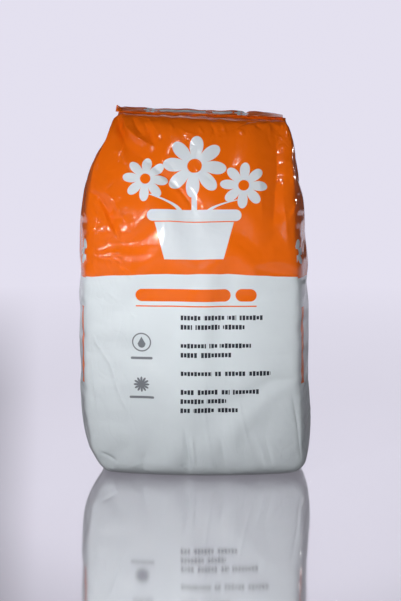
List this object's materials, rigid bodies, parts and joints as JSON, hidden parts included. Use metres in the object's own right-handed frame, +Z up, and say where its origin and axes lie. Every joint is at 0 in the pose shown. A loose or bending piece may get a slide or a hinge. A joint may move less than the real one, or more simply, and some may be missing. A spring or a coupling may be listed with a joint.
{
  "type": "compost bag",
  "caption": "Filled and sealed bag of growing medium in side-gusseted film, standing on its end, with creased shoulders and a folded top seal.",
  "frame": {"origin": "on the floor, under the middle of the bag", "axes": "+Z up, from the bottom seal to the top seal; -Y out of the printed front panel; +X to the right as one faces the front"},
  "size_m": [0.4563, 0.24, 0.7228],
  "materials": {
    "film": "glossy polyethylene film, cool off-white, printed orange above a level edge"
  },
  "bodies": {
    "root": {"filled_bag": "film"}
  },
  "joints": []
}
